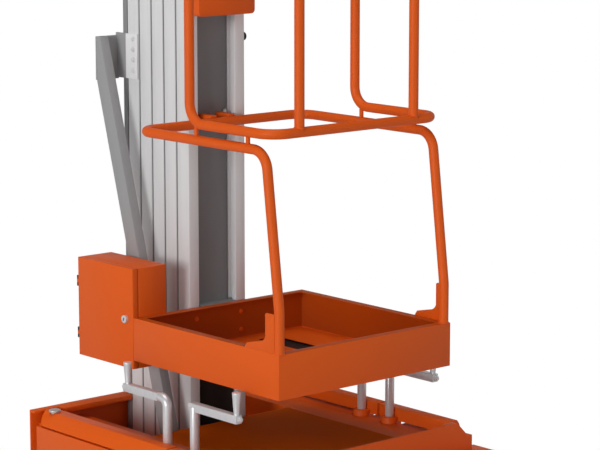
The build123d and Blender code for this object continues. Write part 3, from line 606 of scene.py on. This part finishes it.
# %% Crank nuts, foot pads, axle caps and the lock's key slot
JACKS = (
    # corner, side, jack y, way to the grip, whether the shaft end has a nut too
    ("rear_left", -1, 0.009, 1, False),
    ("rear_right", 1, 0.009, 1, False),
    ("front_left", -1, -0.109, -1, True),
    ("front_right", 1, -0.109, -1, True),
)
JACK_X = 0.357
CRANK_Z = 0.4235
CRANK_REACH = 0.186
CRANK_BACK = 0.013
NUT_WASHER_R = 0.0095
NUT_R = 0.0085
NUT_T = 0.007
STUD_R = 0.0048
STUD_L = 0.011
FOOT_R = 0.046
FOOT_Z = 0.0605
for corner, side, jack_y, way, both in JACKS:
    ends = [(jack_y + way * CRANK_REACH, way)]
    if both:
        ends.append((jack_y - way * CRANK_BACK, -way))
    parts = []
    for y, facing in ends:
        axis = "Y" if facing > 0 else "-Y"
        place = (side * JACK_X, y, CRANK_Z)
        parts.append(drum(NUT_WASHER_R, WASHER_T, 24, place, axis))
        parts.append(drum(NUT_R, NUT_T, 6, place, axis, HEAD_EDGE))
        parts.append(drum(STUD_R, STUD_L, 16, place, axis, 0.0005))
    dress(joined("crank_nuts_" + corner, parts), "outrigger_" + corner, "crank_steel")
    pad = drum(FOOT_R, 0.0, 40, (side * JACK_X, jack_y, FOOT_Z), "-Z")
    dress(joined("foot_pad_" + corner, [pad]), "jack_" + corner, "wheel_rubber")
caps = [drum(0.014, 0.004, 32, (side * 0.487, -0.436, 0.100), facing, 0.0015)
        for side, facing in ((-1, "-X"), (1, "X"))]
dress(joined("axle_caps", caps), "chassis", "zinc_steel")
# The key slot is a thin black plate on the lock's face: painted shade for the hole of the keyhole.
bpy.ops.mesh.primitive_cube_add(size=1)
key_slot = bpy.context.view_layer.objects.active
key_slot.scale = (0.0008, 0.0028, 0.0095)
dress(joined("key_slot", [settle(key_slot, (-0.3202, 0.251, 0.599), (20, 0, 0))]), "box_door",
      "black_plastic")

# %% [markdown]
# ## Weld beads
# Where a tube stands on a plate the welder leaves a low bead. Each is a thin ring, pressed
# halfway into the corner that it fills.

# %% Rings of weld
BEAD = 0.0024


def bead(place, facing, radius, thick):
    """A thin ring round a tube's foot."""
    bpy.ops.mesh.primitive_torus_add(major_radius=radius, minor_radius=thick,
                                     major_segments=40, minor_segments=8)
    obj = bpy.context.view_layer.objects.active
    settle(obj, place, TURN_TO[facing])
    bpy.ops.object.shade_smooth()
    return obj


TUBE_R = 0.01345
RING_X = 0.29655
WELDS = (
    # name, body, facing, radius of the ring, places in metres
    ("post_welds", "platform", "Z", TUBE_R, (
        (-RING_X, -0.38655, 0.606), (RING_X, -0.38655, 0.606))),
    ("bar_welds_low", "platform", "Z", TUBE_R, (
        (-0.203, -0.358, 1.1835), (0.203, -0.358, 1.1835))),
    ("bar_welds_high", "platform", "Z", TUBE_R, (
        (-0.203, -0.358, 1.5745), (0.203, -0.358, 1.5745))),
    ("upright_welds", "platform", "Z", TUBE_R, (
        (-RING_X, -0.022, 1.5745), (RING_X, -0.022, 1.5745))),
)
for name, body, facing, radius, places in WELDS:
    beads = [bead(place, facing, radius, BEAD) for place in places]
    dress(joined(name, beads), body, "orange_paint")
for corner, side, jack_y, way, both in JACKS:
    ring = bead((side * JACK_X, jack_y, 0.278), "Z", 0.0145, 0.002)
    dress(joined("shaft_weld_" + corner, [ring]), "outrigger_" + corner, "orange_paint")

# %% Plain nodes keep their shape and take their finish
for name, node in nodes.items():
    if not node.hide_render:
        for index in range(len(node.material_slots)):
            node.material_slots[index].material = finishes[slot_of[name]]

# %% [markdown]
# ## Floor, light and camera
# The floor is pale and takes a soft shadow close to the machine. Further out it turns
# into plain white for the camera, so it meets the white world without a line. The sky is
# brighter near the horizon, as in a room with white walls. One wide lamp shines from the
# left, almost level, and one from above.

# %% Floor
FLOOR_HALF = 40.0
FLOOR_FADE = (0.6, 1.1)
bpy.ops.mesh.primitive_plane_add(size=2 * FLOOR_HALF, location=(0, 0, 0))
floor = bpy.context.view_layer.objects.active
floor.name = "studio_floor"
ground = Finish("studio_ground", Roughness=0.9)
ground.set("Base Color", (0.8, 0.8, 0.8, 1))
reach = ground.node("ShaderNodeVectorMath", {"operation": "LENGTH"}, {0: ground.place},
                    output="Value")
fade = ground.node("ShaderNodeMapRange", {}, {
    "Value": reach, "From Min": FLOOR_FADE[0], "From Max": FLOOR_FADE[1]})
seen = Wire(ground, ground.tree.nodes.new("ShaderNodeLightPath").outputs["Is Camera Ray"])
white_floor = ground.tree.nodes.new("ShaderNodeEmission")
floor_mix = ground.tree.nodes.new("ShaderNodeMixShader")
ground.tree.links.new((seen * fade).socket, floor_mix.inputs[0])
ground.tree.links.new(ground.shader.outputs[0], floor_mix.inputs[1])
ground.tree.links.new(white_floor.outputs[0], floor_mix.inputs[2])
ground.tree.links.new(floor_mix.outputs[0], ground.tree.nodes["Material Output"].inputs[0])
floor.data.materials.append(ground.material)

# %% World
SKY_HORIZON = 0.75
SKY_TOP = 0.18
SKY_BAND = (0.05, 0.32)
world = bpy.data.worlds.new("studio_world")
bpy.context.scene.world = world
world.use_nodes = True
sky = world.node_tree
sky.nodes.clear()
made = {}
for name, kind in (
        ("out", "ShaderNodeOutputWorld"), ("seen", "ShaderNodeBackground"),
        ("lit", "ShaderNodeBackground"), ("mix", "ShaderNodeMixShader"),
        ("rays", "ShaderNodeLightPath"), ("way", "ShaderNodeTexCoord"),
        ("split", "ShaderNodeSeparateXYZ"), ("band", "ShaderNodeMapRange")):
    made[name] = sky.nodes.new(kind)
made["band"].inputs["From Min"].default_value = SKY_BAND[0]
made["band"].inputs["From Max"].default_value = SKY_BAND[1]
made["band"].inputs["To Min"].default_value = SKY_HORIZON
made["band"].inputs["To Max"].default_value = SKY_TOP
for name in ("seen", "lit"):
    made[name].inputs["Color"].default_value = (1, 1, 1, 1)
for first, output, second, target in (
        ("way", "Generated", "split", 0), ("split", "Z", "band", "Value"),
        ("band", "Result", "lit", "Strength"), ("rays", "Is Camera Ray", "mix", 0),
        ("lit", 0, "mix", 1), ("seen", 0, "mix", 2), ("mix", 0, "out", "Surface")):
    sky.links.new(made[first].outputs[output], made[second].inputs[target])

# %% Lamps
LAMP_FAR = 4
LAMPS = (
    # name, the way to the lamp, strength, angle in degrees
    ("side_lamp", (-0.85, -0.22, 0.13), 1.35, 24),
    ("top_lamp", (-0.12, -0.05, 1.0), 1.15, 40),
)
for name, stand, strength, angle in LAMPS:
    bpy.ops.object.light_add(type="SUN", location=Vector(stand) * LAMP_FAR)
    lamp = bpy.context.view_layer.objects.active
    lamp.name = name
    lamp.data.energy = strength
    lamp.data.angle = math.radians(angle)
    lamp.rotation_euler = Vector(stand).to_track_quat("Z", "Y").to_euler()

# %% [markdown]
# ## The camera
# It stands to the left of the platform and a little above it. The focal length and place
# come from the known square of the tray and the upright mast in the reference view.

# %% Camera
CAMERA_AT = (-4.2031, -4.9498, 1.9744)
CAMERA_AZIMUTH = -41.075
CAMERA_ELEVATION = 9.731
FOCAL_LENGTH = 142.9
bpy.ops.object.camera_add(location=CAMERA_AT, rotation=(
    math.radians(90 - CAMERA_ELEVATION), 0, math.radians(CAMERA_AZIMUTH)))
camera = bpy.context.view_layer.objects.active
camera.name = "studio_camera"
camera.data.lens = FOCAL_LENGTH
camera.data.sensor_width = 36.0
bpy.context.scene.camera = camera
bpy.context.scene.view_settings.view_transform = "Standard"
